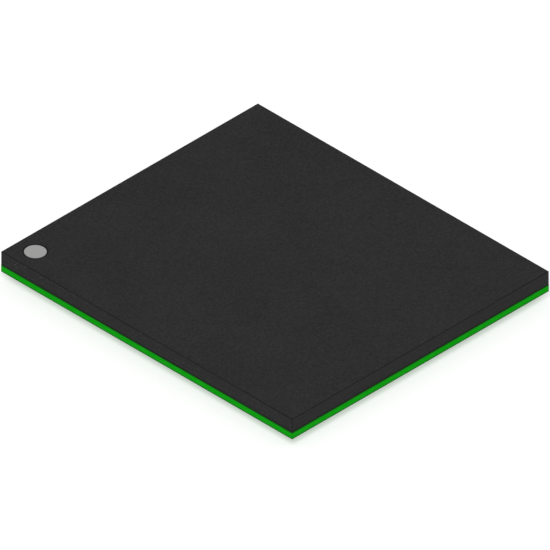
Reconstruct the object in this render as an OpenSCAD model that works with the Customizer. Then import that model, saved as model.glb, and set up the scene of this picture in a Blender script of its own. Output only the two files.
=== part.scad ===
// Memory chip in a moulded ball grid array package.
//
// A silicon memory die is glued to a small two-layer laminate board, wired to it with gold
// bond wires and buried in a black moulding compound. Solder balls on the board's underside
// join the chip to a circuit board. Cap and board are sawn from a strip in one cut, so their
// side walls are flush.
//
// Frame: +Z up, Z = 0 is the plane on which the solder balls stand, and the Z axis runs through
// the middle of the body. Columns count along +X and rows along -Y, so the pin one corner is at
// -X, +Y. All sizes are in millimetres.

/* [Package] */
// Width of the body across the ball columns
body_x = 15; // [13.5:0.1:17]
// Length of the body along the ball columns
body_y = 17; // [15.6:0.1:19]
// Height of the mould cap above the substrate
cap_h = 0.67; // [0.6:0.01:0.9]
// Break on the upper edges of the cap
edge_break = 0.02; // [0.01:0.005:0.05]

/* [Pin one mark] */
// Diameter of the dimple that marks pin one
mark_d = 1; // [0.6:0.05:1.3]
// Distance from the dimple's centre to both edges of its corner
mark_inset = 1; // [0.8:0.05:1.5]
// Depth of the dimple
mark_depth = 0.03; // [0.02:0.005:0.06]
// How far the face of the ink in the dimple lies below the top of the cap
mark_sink = 0.005; // [0.003:0.001:0.015]
// Gap that the ink leaves as it shrinks from the wall of the dimple
mark_gap = 0.02; // [0.01:0.005:0.04]

/* [Ball grid] */
// Number of ball columns, an odd number
ball_columns = 11; // [7:2:11]
// Number of ball rows, an odd number
ball_rows = 15; // [9:2:15]
// Distance between ball centres
ball_pitch = 1; // [0.85:0.05:1.1]
// Diameter of a solder ball
ball_d = 0.5; // [0.46:0.01:0.58]
// Diameter of the solder mask opening at each ball
mask_opening_d = 0.427; // [0.36:0.001:0.44]
// How far a ball pad reaches under the solder mask all round
pad_lap = 0.05; // [0.03:0.005:0.08]

/* [Substrate] */
// Thickness of the laminate core
core_h = 0.25; // [0.15:0.01:0.4]
// Thickness of the copper on each side
copper_h = 0.02; // [0.012:0.001:0.035]
// Thickness of the solder mask over the copper
mask_h = 0.03; // [0.02:0.001:0.04]
// How far the lower solder mask stands proud over the copper
mask_relief = 0.01; // [0.005:0.001:0.015]
// Diameter of the filled vias
via_d = 0.12; // [0.08:0.01:0.16]
// Diameter of the copper land around each via
land_d = 0.25; // [0.2:0.01:0.3]
// Width of the traces on the upper side
trace_w = 0.05; // [0.03:0.005:0.06]
// Width of the short traces between ball pads and vias
neck_w = 0.1; // [0.06:0.01:0.16]
// Length of a bond finger
finger_l = 0.25; // [0.18:0.01:0.3]
// Width of a bond finger
finger_w = 0.075; // [0.07:0.001:0.085]
// How far the mask window reaches past the bond fingers
window_margin = 0.08; // [0.05:0.005:0.1]

/* [Die] */
// Width of the silicon die
die_x = 8; // [6:0.1:9]
// Length of the silicon die
die_y = 12; // [10:0.1:13]
// Thickness of the silicon die
die_h = 0.28; // [0.15:0.01:0.3]
// Thickness of the die attach film
film_h = 0.025; // [0.015:0.005:0.05]
// Distance from the bonds to the long edge of the die
bond_inset = 0.1; // [0.06:0.01:0.2]
// Length left free of bonds at each end of the die
bond_end_margin = 0.3; // [0.2:0.05:0.6]

/* [Bond wires] */
// Diameter of a bond wire
wire_d = 0.025; // [0.018:0.001:0.03]
// Height of the wire loops above the die
loop_h = 0.15; // [0.1:0.01:0.2]
// Diameter of the flattened ball where a wire starts on the die
bond_d = 0.055; // [0.045:0.001:0.062]
// Height of that flattened ball
bond_h = 0.015; // [0.01:0.001:0.025]
// Diameter of the stitch where a wire ends on its finger
stitch_d = 0.05; // [0.04:0.001:0.058]
// Height of the stitch
stitch_h = 0.01; // [0.006:0.001:0.012]

/* [Fits] */
// Gap between a wire and the compound moulded around it
mould_fit = 0.003; // [0.002:0.001:0.004]
// Gap between a ball's root and the mask opening around it
solder_fit = 0.002; // [0.001:0.001:0.005]

/* [Hidden] */
$fn = 48;

// Colours of the materials
compound_colour = "#2f2f2f";
ink_colour = "#9d9d9d";
silicon_colour = "#5b6470";
film_colour = "#d8c9a0";
gold_colour = "#d9a441";
mask_colour = "#129612";
core_colour = "#2b9a2b";
copper_colour = "#b87333";
solder_colour = "#c3c6c9";

// A ball is a sphere cut off where it has the width of its mask opening, so the ball and the
// opening give the height at which the body stands.
ball_r = ball_d / 2;
opening_r = mask_opening_d / 2;
stand_off = ball_r + sqrt(ball_r * ball_r - opening_r * opening_r);

// Heights of the layers, from the seating plane up
lower_copper_z = stand_off + mask_h;
core_z = lower_copper_z + copper_h;
upper_copper_z = core_z + core_h;
finger_z = upper_copper_z + copper_h;
cap_z = finger_z + mask_h;
die_z = cap_z + film_h;
die_top = die_z + die_h;
body_top = cap_z + cap_h;

// Each half of the board serves its own ball columns, and the middle column is shared by turns.
half_columns = (ball_columns + 1) / 2;
middle_column = (ball_columns - 1) / 2;
middle_row = (ball_rows - 1) / 2;

// The bond fingers stand in a line between two columns of vias, in the first such place where
// their mask window is well clear of the die.
window_x = finger_l + 2 * window_margin;
window_y = ball_rows * ball_pitch;
least_die_gap = 0.4;
finger_column = ceil((die_x / 2 + least_die_gap + window_x / 2) / ball_pitch);
finger_x = finger_column * ball_pitch;

// The traces of one row share the channel between two rows of vias.
track_pitch = (ball_pitch - land_d) / half_columns;

// The bonds on the die follow the fingers at a closer pitch.
bond_x = die_x / 2 - bond_inset;
bond_squeeze = (die_y - 2 * bond_end_margin) / window_y;

// A sliver by which a cutting shape reaches past the face that it opens
past = 0.001;

// Sizes of a bond wire that follow from its diameter: the knuckle fills the outside of its bend
wire_r = wire_d / 2;
knuckle_swell = 1.1;
knuckle_r = knuckle_swell * wire_r;
tunnel_r = wire_r + mould_fit;

// A net is the way of one signal, [side, column from the middle, row]: the ball pad, its via,
// its trace and bond finger, and its bond wire. Side is -1 on the left and +1 on the right.
function side_of(column, row) =
    column == middle_column ? (row % 2 == 0 ? 1 : -1) : sign(column - middle_column);

nets = [
    for (row = [0:ball_rows - 1], column = [0:ball_columns - 1])
        [side_of(column, row), abs(column - middle_column), row]
];

function nets_on(side) = [for (net = nets) if (net[0] == side) net];

// Places that belong to a net
function row_y(net) = (middle_row - net[2]) * ball_pitch;
function outward_y(net) = row_y(net) >= 0 ? 1 : -1;
function ball_at(net) = [net[0] * net[1] * ball_pitch, row_y(net)];
function via_at(net) =
    [net[0] * (net[1] + 0.5) * ball_pitch, row_y(net) + outward_y(net) * ball_pitch / 2];

// The nearer a via is to the fingers, the nearer its trace runs to the row of vias, so that no
// trace has to cross another one on its way.
function track_of(net) =
    net[1] < finger_column ? min(finger_column, half_columns) - 1 - net[1] : net[1];
function track_y(net) =
    row_y(net) + outward_y(net) * ((half_columns - 1) / 2 - track_of(net)) * track_pitch;
function finger_at(net) = [net[0] * finger_x, track_y(net)];
function bond_at(net) = [net[0] * bond_x, track_y(net) * bond_squeeze];

// A wire rises from its bond to the kink, and runs straight down to its finger.
wire_drop = loop_h + die_top - finger_z - wire_r;
function wire_span(net) = norm(finger_at(net) - bond_at(net));
function wire_heading(net) =
    let (way = finger_at(net) - bond_at(net)) atan2(way.y, way.x);
function run_slope(span) = atan2(wire_drop, span);

// Flat outline of the sawn body
module body_outline() {
    square([body_x, body_y], center = true);
}

// A straight bar of copper between two points, with square ends
module bar(from, to, width) {
    way = to - from;
    translate(from)
        rotate(atan2(way.y, way.x))
            translate([0, -width / 2])
                square([norm(way), width]);
}

// The windows in the upper solder mask that bare the two lines of bond fingers
module bond_windows() {
    for (side = [-1, 1])
        translate([side * finger_x, 0])
            square([window_x, window_y], center = true);
}

// The copper of one net that shows in a bond window
module finger_outline(net) {
    translate(finger_at(net))
        square([finger_l, finger_w], center = true);
    bar(finger_at(net), [via_at(net).x, track_y(net)], trace_w);
}

// The copper of one net on the upper side: its finger, its trace and the land of its via
module upper_net_outline(net) {
    turn = [via_at(net).x, track_y(net)];
    finger_outline(net);
    translate([turn.x, (turn.y + via_at(net).y) / 2])
        square([trace_w, abs(via_at(net).y - turn.y) + trace_w], center = true);
    translate(via_at(net))
        circle(d = land_d);
}

// The copper of one net on the lower side: its ball pad, the neck and the land of its via
module lower_net_outline(net) {
    translate(ball_at(net))
        circle(d = mask_opening_d + 2 * pad_lap);
    bar(ball_at(net), via_at(net), neck_w);
    translate(via_at(net))
        circle(d = land_d);
}

// Puts its children at the start of a net's wire, with +X along the wire
module at_bond(net) {
    translate([bond_at(net).x, bond_at(net).y, die_top])
        rotate(wire_heading(net))
            children();
}

// A bond wire from the die to its finger, in one piece with its bonds
module bond_wire(span) {
    cylinder(d = bond_d, h = bond_h);
    cylinder(r = wire_r, h = loop_h);
    translate([0, 0, loop_h]) {
        sphere(r = knuckle_r);
        rotate([0, 90 + run_slope(span), 0])
            cylinder(r = wire_r, h = norm([span, wire_drop]));
    }
    translate([span, 0, finger_z - die_top])
        cylinder(d = stitch_d, h = stitch_h);
}

// The room that the compound leaves around a bond wire
module wire_tunnel(span) {
    slope = run_slope(span);
    mitre = tunnel_r * (1 + sin(slope)) / cos(slope);
    end = [span, loop_h - wire_drop];
    up = tunnel_r * [sin(slope), cos(slope)];
    on = tunnel_r * [cos(slope), -sin(slope)];
    rotate([90, 0, 0])
        linear_extrude(2 * tunnel_r, center = true)
            polygon([
                [-tunnel_r, -past],
                [-tunnel_r, loop_h + mitre],
                end + up + on,
                end - up + on,
                [tunnel_r, loop_h - mitre],
                [tunnel_r, -past]
            ]);
    translate([0, 0, -past])
        cylinder(d = bond_d + 2 * mould_fit, h = bond_h + mould_fit + past);
    translate([span, 0, finger_z - die_top - past])
        cylinder(d = stitch_d + 2 * mould_fit, h = stitch_h + mould_fit + past);
}

// The compound before the die, the wires and the mark are cut from it: the cap itself, and
// what flowed down through the mask windows around the bond fingers
module compound() {
    translate([0, 0, cap_z])
        linear_extrude(cap_h)
            body_outline();
    translate([0, 0, finger_z])
        linear_extrude(mask_h)
            bond_windows();
    translate([0, 0, upper_copper_z])
        linear_extrude(copper_h)
            difference() {
                bond_windows();
                for (net = nets)
                    finger_outline(net);
            }
}

// Wedges that break the four upper edges of the cap
module edge_breaks() {
    reach = body_x + body_y;
    wedge = edge_break * sqrt(2);
    for (turn = [0:90:270])
        rotate(turn)
            translate([(turn % 180 == 0 ? body_x : body_y) / 2, 0, body_top])
                rotate([0, 45, 0])
                    cube([wedge, reach, wedge], center = true);
}

// Puts its children at the middle of the dimple's floor
module at_mark() {
    translate([-body_x / 2 + mark_inset, body_y / 2 - mark_inset, body_top - mark_depth])
        children();
}

module mould_cap() {
    color(compound_colour)
        difference() {
            compound();
            translate([0, 0, cap_z + die_h / 2 + film_h / 2 - past / 2])
                cube([die_x, die_y, die_h + film_h + past], center = true);
            for (net = nets)
                at_bond(net)
                    wire_tunnel(wire_span(net));
            at_mark()
                cylinder(d = mark_d, h = mark_depth + past);
            edge_breaks();
        }
}

module pin_one_mark() {
    color(ink_colour)
        at_mark()
            cylinder(d = mark_d - 2 * mark_gap, h = mark_depth - mark_sink);
}

module memory_die() {
    color(silicon_colour)
        translate([0, 0, die_z + die_h / 2])
            cube([die_x, die_y, die_h], center = true);
}

module die_attach_film() {
    color(film_colour)
        translate([0, 0, cap_z + film_h / 2])
            cube([die_x, die_y, film_h], center = true);
}

module bond_wires(side) {
    color(gold_colour)
        for (net = nets_on(side))
            at_bond(net)
                bond_wire(wire_span(net));
}

module left_bond_wires() {
    bond_wires(-1);
}

module right_bond_wires() {
    bond_wires(1);
}

module upper_solder_mask() {
    color(mask_colour) {
        translate([0, 0, upper_copper_z])
            linear_extrude(copper_h)
                difference() {
                    body_outline();
                    bond_windows();
                    for (net = nets)
                        upper_net_outline(net);
                }
        translate([0, 0, finger_z])
            linear_extrude(mask_h)
                difference() {
                    body_outline();
                    bond_windows();
                }
    }
}

module upper_copper() {
    color(copper_colour)
        for (net = nets)
            translate([0, 0, upper_copper_z])
                linear_extrude(copper_h)
                    upper_net_outline(net);
}

module substrate_core() {
    color(core_colour)
        translate([0, 0, core_z])
            linear_extrude(core_h)
                difference() {
                    body_outline();
                    for (net = nets)
                        translate(via_at(net))
                            circle(d = via_d);
                }
}

module filled_vias() {
    color(copper_colour)
        for (net = nets)
            translate([via_at(net).x, via_at(net).y, core_z])
                cylinder(d = via_d, h = core_h);
}

module lower_copper() {
    color(copper_colour)
        for (net = nets)
            translate([0, 0, lower_copper_z])
                linear_extrude(copper_h)
                    lower_net_outline(net);
}

// The lower mask fills the room between the copper, and follows the copper as a low relief
module lower_solder_mask() {
    color(mask_colour) {
        translate([0, 0, stand_off + mask_relief])
            linear_extrude(core_z - stand_off - mask_relief)
                difference() {
                    body_outline();
                    for (net = nets)
                        lower_net_outline(net);
                }
        for (net = nets)
            translate([0, 0, stand_off])
                linear_extrude(mask_h)
                    difference() {
                        lower_net_outline(net);
                        translate(ball_at(net))
                            circle(d = mask_opening_d);
                    }
    }
}

// One ball: a sphere cut off at the mask, and the root that fills the opening up to the pad
module solder_ball() {
    difference() {
        translate([0, 0, ball_r])
            sphere(r = ball_r);
        translate([0, 0, stand_off + ball_r])
            cube(2 * ball_r, center = true);
    }
    translate([0, 0, ball_r])
        cylinder(r = opening_r - solder_fit, h = lower_copper_z - ball_r);
}

module solder_balls() {
    color(solder_colour)
        for (net = nets)
            translate(ball_at(net))
                solder_ball();
}

mould_cap();
pin_one_mark();
memory_die();
die_attach_film();
left_bond_wires();
right_bond_wires();
upper_solder_mask();
upper_copper();
substrate_core();
filled_vias();
lower_copper();
lower_solder_mask();
solder_balls();
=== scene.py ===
import math

import bmesh
import bpy
from mathutils import Matrix, Vector


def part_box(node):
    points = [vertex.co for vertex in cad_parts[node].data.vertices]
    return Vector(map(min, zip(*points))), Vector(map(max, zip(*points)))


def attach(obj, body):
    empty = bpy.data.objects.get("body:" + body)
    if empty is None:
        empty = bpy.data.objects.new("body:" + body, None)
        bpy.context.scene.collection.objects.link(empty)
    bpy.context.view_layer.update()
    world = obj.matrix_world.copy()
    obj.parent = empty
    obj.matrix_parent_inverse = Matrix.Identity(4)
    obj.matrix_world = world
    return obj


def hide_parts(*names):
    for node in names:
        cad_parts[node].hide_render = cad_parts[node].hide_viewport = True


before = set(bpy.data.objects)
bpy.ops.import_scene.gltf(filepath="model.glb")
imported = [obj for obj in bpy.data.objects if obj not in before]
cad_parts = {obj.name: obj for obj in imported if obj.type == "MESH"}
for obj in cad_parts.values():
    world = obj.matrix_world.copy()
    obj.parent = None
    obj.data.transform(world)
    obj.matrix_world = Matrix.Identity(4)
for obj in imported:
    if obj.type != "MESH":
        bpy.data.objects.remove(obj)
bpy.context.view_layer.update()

# The laminate core is glass cloth in green resin, pressed flat and drilled for its vias.
# A diamond saw parts it from the strip, so its edge shows the cut glass ply over ply.
# All lengths are in millimetres, here and in the sections that follow.
MM = 0.001

RESIN_GREEN = (3, 153, 6)
GLASS_GREEN = (12, 162, 16)
GLASS_SPREAD = (0.46, 0.64)
GLASS_SHARE = 0.7
PLY_BUNDLE = (0.42, 0.42, 0.07)
# The darker green of the resin-rich skins near the faces, also used along the chipped outer edges as
# painted shade
RESIN_SKIN_AND_EDGE_SHADE = (3, 138, 6)
RESIN_SKIN_FADE = (0.03, 0.01)
LAMINATE_ROUGH = (0.66, 0.5)

SAW_LINE = (3.5, 3.5, 0.05)
SAW_RELIEF = (0.004, 0.5)
WALL_TILT = (0.5, 0.4)
# The chipped line along the body's outer edges is real wear, and its darkness is painted shade of the
# chips
EDGE_CHIP = 0.05
EDGE_WEAR_AND_SHADE = (0.015, 0.06)
EDGE_WEAR_AND_SHADE_FADE = 0.012

# Most of a noise pattern lies between these two levels. A finish gives its roughness at the one
# and at the other, and its relief as a depth and a strength.
NOISE_SPREAD = (0.3, 0.7)


def srgb(red, green, blue):
    """The linear colour of a screen colour with steps from 0 to 255."""
    linear = []
    for step in (red, green, blue):
        share = step / 255
        linear.append(share / 12.92 if share <= 0.04045 else ((share + 0.055) / 1.055) ** 2.4)
    return (*linear, 1.0)


def feed(tree, node, inputs):
    """Sets inputs of a shader node to values, or links them to sockets."""
    for name, value in inputs.items():
        if isinstance(value, bpy.types.NodeSocket):
            tree.links.new(value, node.inputs[name])
        else:
            node.inputs[name].default_value = value


def add(tree, kind, inputs=None, **settings):
    """A new shader node with its settings and its inputs."""
    made = tree.nodes.new(kind)
    for name, value in settings.items():
        setattr(made, name, value)
    feed(tree, made, inputs or {})
    return made


def surface(name, constants):
    """A new material with one Principled shader, and the constants set on that shader's sockets."""
    material = bpy.data.materials.new(name)
    material.use_nodes = True
    shader = material.node_tree.nodes["Principled BSDF"]
    feed(material.node_tree, shader, constants)
    return material, material.node_tree, shader


def stretched(tree, size):
    """Coordinates in which one unit is as long, wide and high as size says, or one length each way."""
    sides = size if isinstance(size, tuple) else (size, size, size)
    place = add(tree, "ShaderNodeTexCoord").outputs["Object"]
    scale = [1 / (side * MM) for side in sides]
    return add(tree, "ShaderNodeMapping", {"Vector": place, "Scale": scale}).outputs["Vector"]


def noise(tree, size, detail, **more):
    """A cloudy pattern whose lumps have the given size."""
    inputs = {"Vector": stretched(tree, size), "Scale": 1.0, "Detail": detail, **more}
    return add(tree, "ShaderNodeTexNoise", inputs).outputs["Fac"]


def ramp(tree, value, low, high, to_low=0.0, to_high=1.0):
    """A value spread from low..high to to_low..to_high, and held at the ends."""
    spread = {"Value": value, "From Min": low, "From Max": high, "To Min": to_low, "To Max": to_high}
    return add(tree, "ShaderNodeMapRange", spread).outputs["Result"]


def mixed(tree, share, first, second):
    """A colour that goes from first to second with share. Each is a socket or a screen colour."""
    ends = [end if isinstance(end, bpy.types.NodeSocket) else srgb(*end) for end in (first, second)]
    mix = add(tree, "ShaderNodeMix", {0: share, 6: ends[0], 7: ends[1]}, data_type="RGBA")
    return mix.outputs[2]


def calculated(tree, operation, first, second=0.0):
    """The result of one sum on two values or sockets."""
    return add(tree, "ShaderNodeMath", {0: first, 1: second}, operation=operation).outputs[0]


def place_of(tree):
    """Where each spot of a surface is."""
    place = add(tree, "ShaderNodeTexCoord").outputs["Object"]
    scaled = add(tree, "ShaderNodeVectorMath", {0: place, "Scale": 1 / MM}, operation="SCALE")
    return scaled.outputs["Vector"]


def along_axes(tree, vector):
    """The three parts of a vector, as the sockets X, Y and Z."""
    return add(tree, "ShaderNodeSeparateXYZ", {"Vector": vector}).outputs


def bumped(tree, shader, height, depth, strength):
    """Gives the shader a relief of height, which is depth deep where height is 1."""
    relief = {"Height": height, "Distance": depth * MM, "Strength": strength}
    feed(tree, shader, {"Normal": add(tree, "ShaderNodeBump", relief).outputs["Normal"]})


def corners_of(node):
    """The lowest and the highest corner of a node of the frame."""
    low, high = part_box(node)
    return low / MM, high / MM


def dress(node, material):
    """Puts a material on a node of the frame."""
    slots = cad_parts[node].data.materials
    slots.clear()
    slots.append(material)


# Saw marks: fine level lines along a sawn wall, a mask that tells walls from level faces, and
# the bruised, chipped line along the body's outer edges, which the finishes darken as painted shade of
# its chips
body_low = corners_of("lower_solder_mask")[0]
body_high = corners_of("mould_cap")[1]
saw_marks = bpy.data.node_groups.new("saw_marks", "ShaderNodeTree")
for socket in ("Wall", "Lines", "Edge"):
    saw_marks.interface.new_socket(socket, in_out="OUTPUT", socket_type="NodeSocketFloat")
facing = add(saw_marks, "ShaderNodeTexCoord").outputs["Normal"]
tilt = calculated(saw_marks, "ABSOLUTE", along_axes(saw_marks, facing)["Z"])
spot = along_axes(saw_marks, place_of(saw_marks))
from_middle_x = calculated(saw_marks, "ABSOLUTE", spot["X"])
from_middle_y = calculated(saw_marks, "ABSOLUTE", spot["Y"])
from_side = calculated(saw_marks, "SUBTRACT", body_high.x, from_middle_x)
from_end = calculated(saw_marks, "SUBTRACT", body_high.y, from_middle_y)
from_top = calculated(saw_marks, "SUBTRACT", body_high.z, spot["Z"])
from_bottom = calculated(saw_marks, "SUBTRACT", spot["Z"], body_low.z)
from_face = calculated(saw_marks, "MINIMUM", from_top, from_bottom)
nearer_wall = calculated(saw_marks, "MINIMUM", from_side, from_end)
farther_wall = calculated(saw_marks, "MAXIMUM", from_side, from_end)
second_nearest = calculated(saw_marks, "MINIMUM", farther_wall, from_face)
from_edge = calculated(saw_marks, "MAXIMUM", nearer_wall, second_nearest)
chips = noise(saw_marks, EDGE_CHIP, detail=2.0)
# How far in from the outer edges the chipped line reaches, which is then darkened as painted shade
wear_and_shade_reach = ramp(saw_marks, chips, *NOISE_SPREAD, *EDGE_WEAR_AND_SHADE)
inside_wear_and_shade = calculated(saw_marks, "SUBTRACT", wear_and_shade_reach, from_edge)
marks = {
    "Wall": ramp(saw_marks, tilt, *WALL_TILT),
    "Lines": noise(saw_marks, SAW_LINE, detail=3.0, Roughness=0.6),
    "Edge": ramp(saw_marks, inside_wear_and_shade, 0.0, EDGE_WEAR_AND_SHADE_FADE),
}
add(saw_marks, "NodeGroupOutput", marks)

laminate, tree, shader = surface("sawn_laminate", {"Specular IOR Level": 0.03})
saw = add(tree, "ShaderNodeGroup", node_tree=saw_marks).outputs
bundles = noise(tree, PLY_BUNDLE, detail=1.5)
glass = ramp(tree, bundles, *GLASS_SPREAD, 0.0, GLASS_SHARE)
plies = mixed(tree, glass, RESIN_GREEN, GLASS_GREEN)
core_low, core_high = corners_of("substrate_core")
height = along_axes(tree, place_of(tree))["Z"]
from_lower_face = calculated(tree, "SUBTRACT", height, core_low.z)
from_upper_face = calculated(tree, "SUBTRACT", core_high.z, height)
skin = ramp(tree, calculated(tree, "MINIMUM", from_lower_face, from_upper_face), *RESIN_SKIN_FADE)
# The resin-rich skins near the faces are real; the same darker green along the chipped outer edges is
# painted shade
resin_skin_and_edge_shade = calculated(tree, "MAXIMUM", skin, saw["Edge"])
laminate_colour = mixed(tree, resin_skin_and_edge_shade, plies, RESIN_SKIN_AND_EDGE_SHADE)
laminate_rough = ramp(tree, bundles, *NOISE_SPREAD, *LAMINATE_ROUGH)
feed(tree, shader, {"Base Color": laminate_colour, "Roughness": laminate_rough})
bumped(tree, shader, saw["Lines"], *SAW_RELIEF)
dress("substrate_core", laminate)

# The copper on both faces is etched from foil: ball pads, traces and bond fingers. The vias
# through the core are drilled, plated and filled. It all lies under lacquer or compound.
ETCHED_COPPER = (196, 118, 74)
TARNISHED_COPPER = (150, 84, 56)
TARNISH_SPREAD = (0.35, 0.7)
COPPER_GRAIN = 0.03
COPPER_ROUGH = (0.28, 0.46)
COPPER_RELIEF = (0.002, 0.4)

copper, tree, shader = surface("etched_copper", {"Metallic": 1.0})
grains = noise(tree, COPPER_GRAIN, detail=3.0)
tarnish = ramp(tree, grains, *TARNISH_SPREAD)
copper_colour = mixed(tree, tarnish, ETCHED_COPPER, TARNISHED_COPPER)
copper_rough = ramp(tree, grains, *NOISE_SPREAD, *COPPER_ROUGH)
feed(tree, shader, {"Base Color": copper_colour, "Roughness": copper_rough})
bumped(tree, shader, grains, *COPPER_RELIEF)
for node in ("upper_copper", "filled_vias", "lower_copper"):
    dress(node, copper)

# The solder mask is a green lacquer, printed on both faces of the board and cured. It is thin
# enough to let the copper show paler through it, and opens in a round hole at every ball.
# Its walls, the sawn cut edges and the steps over the copper, are painted darker as shade, and only its
# level faces have the gloss of the print.
MASK_GREEN = (8, 138, 12)
MASK_WALL_SHADE = (1, 84, 4)
MASK_OVER_COPPER = (58, 166, 52)
COPPER_SHOWS = (0.7, 1.0)
COPPER_RISE_FADE = (0.009, 0.002)
MASK_CLOUD = 1.8
MASK_GLOSS = 0.3
MASK_ROUGH = (0.3, 0.42)
MASK_PEEL = 0.12
MASK_RELIEF = (0.004, 0.35)

mask, tree, shader = surface("solder_mask", {"Specular IOR Level": 0.03, "Coat Roughness": 0.32})
saw = add(tree, "ShaderNodeGroup", node_tree=saw_marks).outputs
level = calculated(tree, "SUBTRACT", 1.0, saw["Wall"])
cloud = noise(tree, MASK_CLOUD, detail=2.0)
peel = noise(tree, MASK_PEEL, detail=2.0)
rise = calculated(tree, "SUBTRACT", along_axes(tree, place_of(tree))["Z"], body_low.z)
over_copper = calculated(tree, "MULTIPLY", ramp(tree, rise, *COPPER_RISE_FADE), level)
see_through = calculated(tree, "MULTIPLY", over_copper, ramp(tree, cloud, *NOISE_SPREAD, *COPPER_SHOWS))
lacquer = mixed(tree, see_through, MASK_GREEN, MASK_OVER_COPPER)
mask_finish = {
    # The lacquer's walls get a darker green as painted shade
    "Base Color": mixed(tree, saw["Wall"], lacquer, MASK_WALL_SHADE),
    "Roughness": ramp(tree, cloud, *NOISE_SPREAD, *MASK_ROUGH),
    "Coat Weight": calculated(tree, "MULTIPLY", level, MASK_GLOSS),
}
feed(tree, shader, mask_finish)
bumped(tree, shader, peel, *MASK_RELIEF)
for node in ("upper_solder_mask", "lower_solder_mask"):
    dress(node, mask)

# The die attach film is a sheet of half-cured epoxy, laminated to the back of the wafer and
# cut with it. It sets as the die is pressed down on the board.
FILM_CREAM = (216, 201, 160)
FILM_SHADE = (196, 178, 134)
FILM_CLOUD = 0.6
FILM_ROUGH = (0.5, 0.65)

film, tree, shader = surface("die_attach_film", {"Specular IOR Level": 0.4})
clouds = noise(tree, FILM_CLOUD, detail=4.0)
film_colour = mixed(tree, clouds, FILM_CREAM, FILM_SHADE)
film_rough = ramp(tree, clouds, *NOISE_SPREAD, *FILM_ROUGH)
feed(tree, shader, {"Base Color": film_colour, "Roughness": film_rough})
dress("die_attach_film", film)

# The die is polished silicon. Its upper face holds the cell arrays, in blocks between bare
# streets where the signal lines run.
SILICON_GREY = (92, 100, 112)
ARRAY_VIOLET = (104, 92, 128)
ARRAY_BLOCK = (0.9, 1.3, 1.0)
ARRAY_STREET = 0.05
ARRAY_STREET_FADE = 0.1
SILICON_ROUGH = (0.18, 0.3)

silicon, tree, shader = surface("polished_silicon", {"Metallic": 0.6, "Coat Weight": 0.3})
layout = {
    "Vector": stretched(tree, ARRAY_BLOCK),
    "Scale": 1.0,
    "Mortar Size": ARRAY_STREET,
    "Mortar Smooth": ARRAY_STREET_FADE,
    "Brick Width": 1.0,
    "Row Height": 1.0,
}
streets = add(tree, "ShaderNodeTexBrick", layout, offset=0.0).outputs["Fac"]
die_colour = mixed(tree, streets, ARRAY_VIOLET, SILICON_GREY)
die_rough = ramp(tree, streets, 0.0, 1.0, *SILICON_ROUGH)
feed(tree, shader, {"Base Color": die_colour, "Roughness": die_rough})
dress("memory_die", silicon)

# The bond wires are drawn gold, thinner than a hair. Each is balled and welded to the die,
# led over in a low loop and stitched to its finger on the board.
DRAWN_GOLD = (240, 190, 96)
WORKED_GOLD = (206, 150, 66)
DRAWING_MARK = 0.02
GOLD_ROUGH = (0.2, 0.34)

gold, tree, shader = surface("drawn_gold", {"Metallic": 1.0})
drawn = noise(tree, DRAWING_MARK, detail=2.0)
gold_colour = mixed(tree, drawn, DRAWN_GOLD, WORKED_GOLD)
gold_rough = ramp(tree, drawn, *NOISE_SPREAD, *GOLD_ROUGH)
feed(tree, shader, {"Base Color": gold_colour, "Roughness": gold_rough})
for node in ("left_bond_wires", "right_bond_wires"):
    dress(node, gold)

# The cap is one moulding of black epoxy filled with silica, pressed over the die and its
# wires. Its top keeps the grain of the eroded mould, and its walls are sawn with the board.
# A dark ring round its dimple and a dark line at its foot, just above the board, are painted shade.
CAP_EDGE_RADIUS = 0.02
CAP_CORNER_RADIUS = 0.012
DIMPLE_PATCH = 1.5
DIMPLE_STEPS = 96
DIMPLE_LIP = 0.006
DIMPLE_ROOM = 0.02
FINGER_LINE = 5.0
WINDOW_WIDTH = 0.41
WINDOW_LENGTH = 15.0

COMPOUND_BLACK = (25, 25, 25)
COMPOUND_GREY = (47, 47, 47)
MOULD_GRAIN = 0.09
MOULD_GRAIN_SPREAD = (0.36, 0.64)
MOULD_FLOW = 2.6
MOULD_FLOW_SPREAD = (0.35, 0.65)
MOULD_FLOW_SHARE = 0.12
MOULD_ROUGH = (0.55, 0.7)
SAWN_BLACK = (35, 35, 35)
SAWN_ROUGH = (0.42, 0.6)
CAP_RELIEF = (0.012, 0.8)
SILICA_GREY = (64, 64, 63)
SILICA_SIZES = (0.09, 0.045)
SILICA_LEFT_OUT = 0.35
SILICA_REACH = 0.4
SILICA_FADE = 0.08
SILICA_FAINTEST = 0.25
# The black of the chipped outer edges: worn, and darker as painted shade of the chips
WORN_AND_SHADED_BLACK = (24, 24, 24)
# The black of the painted shade in the ring round the dimple and along the cap's foot
PAINTED_SHADE_BLACK = (6, 6, 6)
PAINTED_SHADE_FADE = 1 / 3
DIMPLE_RING = 0.05
SEAM_HEIGHT = 0.07

# A face looks along a direction from this much agreement of its normal on, and heights this near
# to each other count as one
UP = Vector((0, 0, 1))
FACING = 0.9
FACING_DOWN = -0.5
SAME_PLACE = 0.001

# The cap's flat map fills this share of its sheet, with the hidden faces drawn small at the side
MAP_SHARE = 0.98
HIDDEN_OFFSET = 0.5
HIDDEN_SCALE = 0.05


def blended(tree, share, first, second):
    """A value that goes from first to second with share."""
    return add(tree, "ShaderNodeMix", {0: share, 2: first, 3: second}, data_type="FLOAT").outputs[0]


def distance_from(tree, point):
    """How far each spot of a surface is from a point."""
    apart = add(tree, "ShaderNodeVectorMath", {0: place_of(tree), 1: point}, operation="DISTANCE")
    return apart.outputs["Value"]


def rounded(bm, edges, radius, segments):
    """Rounds edges of a bmesh."""
    bmesh.ops.bevel(
        bm,
        geom=edges,
        offset=radius,
        offset_type="OFFSET",
        affect="EDGES",
        segments=segments,
        profile=0.5,
        material=-1,
    )


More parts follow.
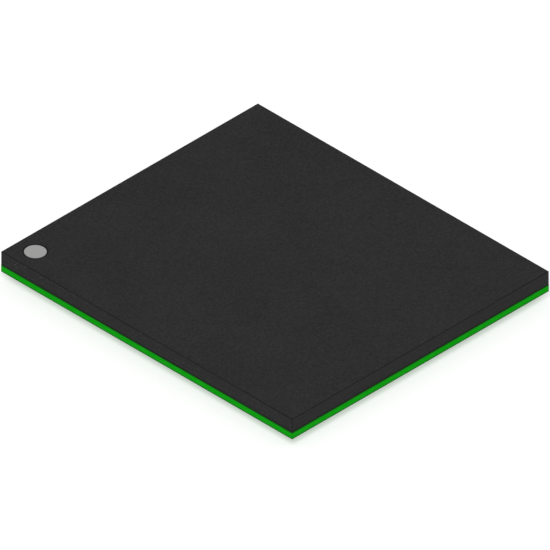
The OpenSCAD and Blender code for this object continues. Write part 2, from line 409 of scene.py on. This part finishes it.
def patch(bm, facing, middle, half_x, half_y):
    """Parts a rectangle off the flat side that looks along facing, and gives its faces."""
    planes = (
        ((middle.x - half_x, 0, 0), (1, 0, 0)),
        ((middle.x + half_x, 0, 0), (1, 0, 0)),
        ((0, middle.y - half_y, 0), (0, 1, 0)),
        ((0, middle.y + half_y, 0), (0, 1, 0)),
    )
    for point, normal in planes:
        bm.normal_update()
        faces = [f for f in bm.faces if f.normal.dot(facing) > FACING]
        edges = dict.fromkeys(e for f in faces for e in f.edges)
        points = dict.fromkeys(v for f in faces for v in f.verts)
        bmesh.ops.bisect_plane(bm, geom=[*points, *edges, *faces], plane_co=point, plane_no=normal)
    bm.normal_update()
    found = []
    for face in bm.faces:
        off = face.calc_center_median() - middle
        if face.normal.dot(facing) > FACING and abs(off.x) < half_x and abs(off.y) < half_y:
            found.append(face)
    return found


def points_in(geom):
    """The vertices among the elements of a bmesh."""
    return [v for v in geom if isinstance(v, bmesh.types.BMVert)]


def pushed(bm, faces, rise):
    """Extrudes a patch of faces up or down by rise."""
    made = bmesh.ops.extrude_face_region(bm, geom=faces)["geom"]
    bmesh.ops.delete(bm, geom=faces, context="FACES")
    bmesh.ops.translate(bm, vec=(0, 0, rise), verts=points_in(made))


def object_from(name, bm, material):
    """A new object at the origin, made from a bmesh."""
    bmesh.ops.scale(bm, vec=(MM, MM, MM), verts=bm.verts)
    mesh = bpy.data.meshes.new(name)
    bm.to_mesh(mesh)
    bm.free()
    mesh.materials.append(material)
    made = bpy.data.objects.new(name, mesh)
    bpy.context.scene.collection.objects.link(made)
    return made


def shown(name, bm, material):
    """A new piece of the chip, made from a closed bmesh and riding on the chip's one body."""
    bmesh.ops.recalc_face_normals(bm, faces=bm.faces)
    piece = object_from(name, bm, material)
    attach(piece, "root")
    return piece


cap_low, cap_high = corners_of("mould_cap")
board_top = corners_of("upper_solder_mask")[1].z
finger_top = corners_of("upper_copper")[1].z
die_low, die_high = corners_of("memory_die")
ink_low, ink_high = corners_of("pin_one_mark")
ink_middle = (ink_low + ink_high) / 2
ink_radius = (ink_high.x - ink_low.x) / 2
dimple_radius = ink_radius + DIMPLE_ROOM
cap_height = cap_high.z - board_top

compound, tree, shader = surface("moulding_compound", {"Specular IOR Level": 0.06})
saw = add(tree, "ShaderNodeGroup", node_tree=saw_marks).outputs
grain = noise(tree, MOULD_GRAIN, detail=5.0, Roughness=0.72)
flow = noise(tree, MOULD_FLOW, detail=3.0, Distortion=0.6)
grain_mottle = ramp(tree, grain, *MOULD_GRAIN_SPREAD, 0.0, 1 - MOULD_FLOW_SHARE)
flow_mottle = ramp(tree, flow, *MOULD_FLOW_SPREAD, 0.0, MOULD_FLOW_SHARE)
mottle = calculated(tree, "ADD", grain_mottle, flow_mottle)
moulded_colour = mixed(tree, mottle, COMPOUND_BLACK, COMPOUND_GREY)
cut_silica = 0.0
for size in SILICA_SIZES:
    cells = add(tree, "ShaderNodeTexVoronoi", {"Vector": stretched(tree, size), "Scale": 1.0}).outputs
    chance = add(tree, "ShaderNodeSeparateColor", {"Color": cells["Color"]}).outputs
    reach = ramp(tree, chance["Green"], SILICA_LEFT_OUT, 1.0, 0.0, SILICA_REACH)
    inside = ramp(tree, calculated(tree, "SUBTRACT", reach, cells["Distance"]), 0.0, SILICA_FADE)
    shade = ramp(tree, chance["Red"], 0.0, 1.0, SILICA_FAINTEST, 1.0)
    cut_silica = calculated(tree, "MAXIMUM", cut_silica, calculated(tree, "MULTIPLY", inside, shade))
sawn_colour = mixed(tree, cut_silica, SAWN_BLACK, SILICA_GREY)
cap_colour = mixed(tree, saw["Wall"], moulded_colour, sawn_colour)
# The chipped outer edges are darkened with painted shade
worn_and_shaded_colour = mixed(tree, saw["Edge"], cap_colour, WORN_AND_SHADED_BLACK)
# The ring round the dimple and the line at the cap's foot are painted shade
from_dimple = distance_from(tree, Vector((ink_middle.x, ink_middle.y, cap_high.z)))
ring_outside = dimple_radius + DIMPLE_RING
ring = ramp(tree, from_dimple, ring_outside, ring_outside - DIMPLE_RING * PAINTED_SHADE_FADE)
seam_top = board_top + SEAM_HEIGHT
seam = ramp(tree, along_axes(tree, place_of(tree))["Z"], seam_top, seam_top - SEAM_HEIGHT * PAINTED_SHADE_FADE)
moulded_rough = ramp(tree, grain, *MOULD_GRAIN_SPREAD, *MOULD_ROUGH)
sawn_rough = ramp(tree, saw["Lines"], *NOISE_SPREAD, *SAWN_ROUGH)
cap_finish = {
    "Base Color": mixed(tree, calculated(tree, "MAXIMUM", ring, seam), worn_and_shaded_colour, PAINTED_SHADE_BLACK),
    "Roughness": blended(tree, saw["Wall"], moulded_rough, sawn_rough),
}
feed(tree, shader, cap_finish)
bumped(tree, shader, blended(tree, saw["Wall"], grain, saw["Lines"]), *CAP_RELIEF)

bm = bmesh.new()
bmesh.ops.create_cube(bm, size=1.0)
bmesh.ops.scale(bm, vec=(cap_high.x - cap_low.x, cap_high.y - cap_low.y, cap_height), verts=bm.verts)
bmesh.ops.translate(bm, vec=(0, 0, (cap_high.z + board_top) / 2), verts=bm.verts)
uprights = [e for e in bm.edges if e.calc_length() < cap_height + SAME_PLACE]
rounded(bm, uprights, CAP_CORNER_RADIUS, segments=3)
top_rim = [e for e in bm.edges if min(v.co.z for v in e.verts) > cap_high.z - SAME_PLACE]
rounded(bm, top_rim, CAP_EDGE_RADIUS, segments=4)

# The pocket around the die, and the feet that the compound sends down to the bond fingers
die_half = (die_high - die_low) / 2
pocket = patch(bm, -UP, Vector(), die_half.x, die_half.y)
pushed(bm, pocket, die_high.z - board_top)
for side in (-1, 1):
    window = patch(bm, -UP, Vector((side * FINGER_LINE, 0, 0)), WINDOW_WIDTH / 2, WINDOW_LENGTH / 2)
    pushed(bm, window, finger_top - board_top)

# The dimple is let into a square patch of the top face
dimple_field = patch(bm, UP, ink_middle, DIMPLE_PATCH / 2, DIMPLE_PATCH / 2)
field_rim = [e for f in dimple_field for e in f.edges]
bmesh.ops.delete(bm, geom=dimple_field, context="FACES_ONLY")
bmesh.ops.subdivide_edges(bm, edges=field_rim, cuts=DIMPLE_STEPS // 4 - 1)
lip = [e for e in bm.edges if e.is_boundary]
dimple_depth = cap_high.z - ink_low.z
for radius, depth in (
    (dimple_radius + DIMPLE_LIP, 0),
    (dimple_radius, DIMPLE_LIP),
    (dimple_radius, dimple_depth),
):
    inner = bmesh.ops.extrude_edge_only(bm, edges=lip)["geom"]
    lip = [e for e in inner if isinstance(e, bmesh.types.BMEdge)]
    for point in points_in(inner):
        out = (point.co - ink_middle).to_2d().normalized() * radius
        point.co = (ink_middle.x + out.x, ink_middle.y + out.y, cap_high.z - depth)
bmesh.ops.contextual_create(bm, geom=lip)

# The cap's own map is flat like an unfolded box: the top, with the walls laid out around it, and
# beside them, small, the faces that the board and the die hide
bmesh.ops.triangulate(bm, faces=bm.faces)
bm.normal_update()
sheet_length = (cap_high.y - cap_low.y + 2 * cap_height) / MAP_SHARE
hidden_place = Vector((cap_high.x + cap_height + HIDDEN_OFFSET, 0))
folds = bm.loops.layers.uv.new("OFBake")
for face in bm.faces:
    middle = face.calc_center_median()
    to_side = max(abs(middle.x) - cap_high.x, abs(middle.y) - cap_high.y)
    on_wall = to_side > -CAP_EDGE_RADIUS and face.normal.z > FACING_DOWN
    on_top = middle.z > ink_low.z - CAP_EDGE_RADIUS
    for corner in face.loops:
        point = corner.vert.co
        drop = cap_high.z - point.z
        out = (point - ink_middle).to_2d()
        if not (on_wall or on_top):
            unfolded = hidden_place + (point.to_2d() + Vector((point.z, point.z / 2))) * HIDDEN_SCALE
        elif out.length < dimple_radius + 2 * DIMPLE_LIP:
            unfolded = ink_middle.to_2d() + out.normalized() * (out.length - drop)
        elif abs(face.normal.x) > abs(face.normal.y):
            unfolded = Vector((point.x + math.copysign(drop, point.x), point.y))
        else:
            unfolded = Vector((point.x, point.y + math.copysign(drop, point.y)))
        corner[folds].uv = unfolded / sheet_length + Vector((0.5, 0.5))
cap = shown("moulded_cap", bm, compound)
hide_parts("mould_cap")

# The pin one mark is a drop of grey marking ink in the dimple. It dries to a flat, chalky
# face with a round shoulder, thin at its rim and a little short of the dimple's wall.
INK_GREY = (150, 150, 150)
INK_PALE = (162, 162, 161)
INK_THIN = (84, 84, 84)
INK_RIM = 0.03
INK_CHALK = 0.04
INK_ROUGH = (0.7, 0.85)
INK_RELIEF = (0.004, 0.5)
INK_SHOULDER = 0.012
INK_STEPS = 96

ink, tree, shader = surface("marking_ink", {"Specular IOR Level": 0.2})
chalk = noise(tree, INK_CHALK, detail=4.0)
chalky = mixed(tree, ramp(tree, chalk, *NOISE_SPREAD), INK_GREY, INK_PALE)
from_middle = distance_from(tree, Vector((ink_middle.x, ink_middle.y, ink_high.z)))
thin = ramp(tree, from_middle, ink_radius - INK_RIM, ink_radius)
ink_colour = mixed(tree, thin, chalky, INK_THIN)
ink_rough = ramp(tree, chalk, *NOISE_SPREAD, *INK_ROUGH)
feed(tree, shader, {"Base Color": ink_colour, "Roughness": ink_rough})
bumped(tree, shader, chalk, *INK_RELIEF)

bm = bmesh.new()
bmesh.ops.create_cone(
    bm,
    cap_ends=True,
    segments=INK_STEPS,
    radius1=ink_radius,
    radius2=ink_radius,
    depth=ink_high.z - ink_low.z,
    matrix=Matrix.Translation(ink_middle),
)
upper_rim = [e for e in bm.edges if min(v.co.z for v in e.verts) > ink_middle.z]
rounded(bm, upper_rim, INK_SHOULDER, segments=3)
dot = shown("ink_dot", bm, ink)
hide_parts("pin_one_mark")

# The solder balls are tin with a little silver and copper. They are dropped on the pads and
# melted once, so each is a sphere that is cut off where it wets its pad.
BALL_PITCH = 1.0
BALL_COLUMNS = 11
BALL_ROWS = 15
BALL_STEPS = 14
BALL_RINGS = 5
BALL_WELD = 0.0001

SOLDER_BRIGHT = (210, 212, 214)
SOLDER_DULL = (184, 186, 188)
SOLDER_FROST_SPREAD = (0.38, 0.66)
SOLDER_CRYSTAL = 0.09
SOLDER_CRYSTAL_SPREAD = (0.35, 0.7)
SOLDER_ROUGH = (0.22, 0.34)
SOLDER_RELIEF = (0.004, 0.25)

solder, tree, shader = surface("reflowed_solder", {"Metallic": 1.0})
crystals = noise(tree, SOLDER_CRYSTAL, detail=4.0, Distortion=0.8)
frost = ramp(tree, crystals, *SOLDER_FROST_SPREAD)
solder_colour = mixed(tree, frost, SOLDER_BRIGHT, SOLDER_DULL)
solder_rough = ramp(tree, crystals, *SOLDER_CRYSTAL_SPREAD, *SOLDER_ROUGH)
feed(tree, shader, {"Base Color": solder_colour, "Roughness": solder_rough})
bumped(tree, shader, crystals, *SOLDER_RELIEF)

balls_low, balls_high = corners_of("solder_balls")
ball_radius = (balls_high.x - balls_low.x - (BALL_COLUMNS - 1) * BALL_PITCH) / 2
neck_rise = body_low.z - ball_radius
neck_radius = math.sqrt(ball_radius**2 - neck_rise**2)
neck_angle = math.atan2(neck_rise, neck_radius)

# One ball is the half outline from its foot to its root, spun round
bm = bmesh.new()
outline = []
for step in range(BALL_RINGS + 1):
    angle = -math.pi / 2 + (neck_angle + math.pi / 2) * step / BALL_RINGS
    reach = 0.0 if step == 0 else ball_radius * math.cos(angle)
    outline.append(bm.verts.new((reach, 0, ball_radius + ball_radius * math.sin(angle))))
outline.append(bm.verts.new((neck_radius, 0, balls_high.z)))
outline.append(bm.verts.new((0, 0, balls_high.z)))
for first, second in zip(outline, outline[1:]):
    bm.edges.new((first, second))
bmesh.ops.spin(
    bm,
    geom=bm.verts[:] + bm.edges[:],
    cent=(0, 0, 0),
    axis=UP,
    angle=2 * math.pi,
    steps=BALL_STEPS,
    use_merge=True,
)
bmesh.ops.remove_doubles(bm, verts=bm.verts, dist=BALL_WELD)
for face in bm.faces:
    face.smooth = face.calc_center_median().z < body_low.z
one_ball = bm.verts[:] + bm.edges[:] + bm.faces[:]
for row in range(BALL_ROWS):
    for column in range(BALL_COLUMNS):
        copy = bmesh.ops.duplicate(bm, geom=one_ball)["geom"]
        pad = Vector((column - (BALL_COLUMNS - 1) / 2, row - (BALL_ROWS - 1) / 2, 0)) * BALL_PITCH
        bmesh.ops.translate(bm, vec=pad, verts=points_in(copy))
bmesh.ops.delete(bm, geom=points_in(one_ball), context="VERTS")
balls = shown("reflowed_balls", bm, solder)
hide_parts("solder_balls")

# The chip stands on a pale table top that runs on past the picture. It is clear from below, and
# light comes through it under the chip, so that the chip's underside can be looked at.
FLOOR_HALF = 400
FLOOR_LIT = 0.9
FLOOR_SEEN = 0.62
FLOOR_GLOW = 0.46
PAPER_WHITE = (1.0, 1.0, 1.0, 1.0)
CLEAR_INSET = 0.4


def seen_rays(tree):
    """1 for the rays that look at a surface, directly, in a mirror or through glass, or else 0."""
    rays = add(tree, "ShaderNodeLightPath").outputs
    looking = calculated(tree, "MAXIMUM", rays["Is Camera Ray"], rays["Is Glossy Ray"])
    return calculated(tree, "MAXIMUM", looking, rays["Is Transmission Ray"])


paper = bpy.data.materials.new("paper_floor")
paper.use_nodes = True
tree = paper.node_tree
tree.nodes.clear()
seen = seen_rays(tree)
white_share = ramp(tree, seen, 0, 1, FLOOR_LIT, FLOOR_SEEN)
glow_strength = calculated(tree, "MULTIPLY", seen, FLOOR_GLOW)
lit = add(tree, "ShaderNodeBsdfDiffuse", {"Color": white_share}).outputs[0]
glow = add(tree, "ShaderNodeEmission", {"Color": PAPER_WHITE, "Strength": glow_strength}).outputs[0]
upper_side = add(tree, "ShaderNodeAddShader", {0: lit, 1: glow}).outputs[0]
lower_side = add(tree, "ShaderNodeBsdfTransparent").outputs[0]
from_below = add(tree, "ShaderNodeNewGeometry").outputs["Backfacing"]
both_sides = add(tree, "ShaderNodeMixShader", {0: from_below, 1: upper_side, 2: lower_side}).outputs[0]
add(tree, "ShaderNodeOutputMaterial", {"Surface": both_sides})

clear_half = cap_high - Vector((CLEAR_INSET, CLEAR_INSET, 0))
bm = bmesh.new()
bmesh.ops.create_grid(bm, x_segments=1, y_segments=1, size=FLOOR_HALF)
clear_field = patch(bm, UP, Vector(), clear_half.x, clear_half.y)
bmesh.ops.delete(bm, geom=clear_field, context="FACES_ONLY")
object_from("floor", bm, paper)

bm = bmesh.new()
bmesh.ops.create_grid(bm, x_segments=1, y_segments=1, size=1)
bmesh.ops.scale(bm, vec=(clear_half.x, clear_half.y, 1), verts=bm.verts)
under_chip = object_from("floor_under_chip", bm, paper)
under_chip.visible_diffuse = False

# The light is an even white room with one large, soft, round lamp over the left shoulder. Its
# level is plain, so that a colour comes out about as it is written.
ROOM_LIGHT = 0.62
KEY_PLACE = Vector((-190, -155, 340))
KEY_SIZE = 260
KEY_WATTS = 0.86

world = bpy.data.worlds.new("white_room")
bpy.context.scene.world = world
world.use_nodes = True
tree = world.node_tree
tree.nodes.clear()
room_strength = ramp(tree, seen_rays(tree), 0, 1, ROOM_LIGHT, 1)
room = add(tree, "ShaderNodeBackground", {"Color": PAPER_WHITE, "Strength": room_strength})
add(tree, "ShaderNodeOutputWorld", {"Surface": room.outputs[0]})

key = bpy.data.lights.new("key", "AREA")
key.shape = "DISK"
key.size = KEY_SIZE * MM
key.energy = KEY_WATTS
key_lamp = bpy.data.objects.new("key", key)
key_lamp.location = KEY_PLACE * MM
key_lamp.rotation_euler = (-KEY_PLACE).to_track_quat("-Z", "Y").to_euler()
bpy.context.scene.collection.objects.link(key_lamp)

# The camera looks along the isometric axis over the front corner, with no perspective, and
# the body's left and right corners just touch the sides of the picture.
VIEW_TURN = math.radians(-45)
VIEW_TILT = math.atan(math.sqrt(0.5))
VIEW_WIDTH = 22.72
VIEW_AIM = Vector((0, 0, 0.708))
VIEW_DISTANCE = 200
VIEW_NEAREST = 1
VIEW_FARTHEST = 10000

lens = bpy.data.cameras.new("camera")
lens.type = "ORTHO"
lens.ortho_scale = VIEW_WIDTH * MM
lens.clip_start = VIEW_NEAREST * MM
lens.clip_end = VIEW_FARTHEST * MM
camera = bpy.data.objects.new("camera", lens)
camera.rotation_euler = (math.pi / 2 - VIEW_TILT, 0, VIEW_TURN)
look = camera.rotation_euler.to_matrix() @ Vector((0, 0, -1))
camera.location = (VIEW_AIM - look * VIEW_DISTANCE) * MM
bpy.context.scene.collection.objects.link(camera)
bpy.context.scene.camera = camera
bpy.context.scene.view_settings.view_transform = "Standard"
